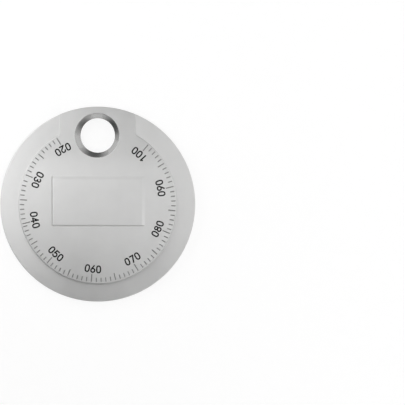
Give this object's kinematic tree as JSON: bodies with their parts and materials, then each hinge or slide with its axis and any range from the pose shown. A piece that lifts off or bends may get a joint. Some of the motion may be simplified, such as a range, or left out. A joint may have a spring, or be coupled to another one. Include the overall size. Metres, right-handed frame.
{
  "type": "spark plug gap gauge",
  "caption": "Round cast gauge whose helical ramp rim measures a spark plug's gap: inch scale on the raised boss, millimetre scale on the flat back, countersunk hole in the tab.",
  "frame": {"origin": "centre of the flat back, on the surface the gauge lies on", "axes": "+Z along the disc's axis, from the flat back to the inch face; +Y from the centre to the hole; +X to the right, seen from the inch face with the hole up"},
  "size_m": [0.038, 0.038, 0.0032],
  "materials": {
    "nickel_plate": "satin nickel plate over a zinc die casting"
  },
  "bodies": {
    "root": {"gauge_disc": "nickel_plate"}
  },
  "joints": []
}
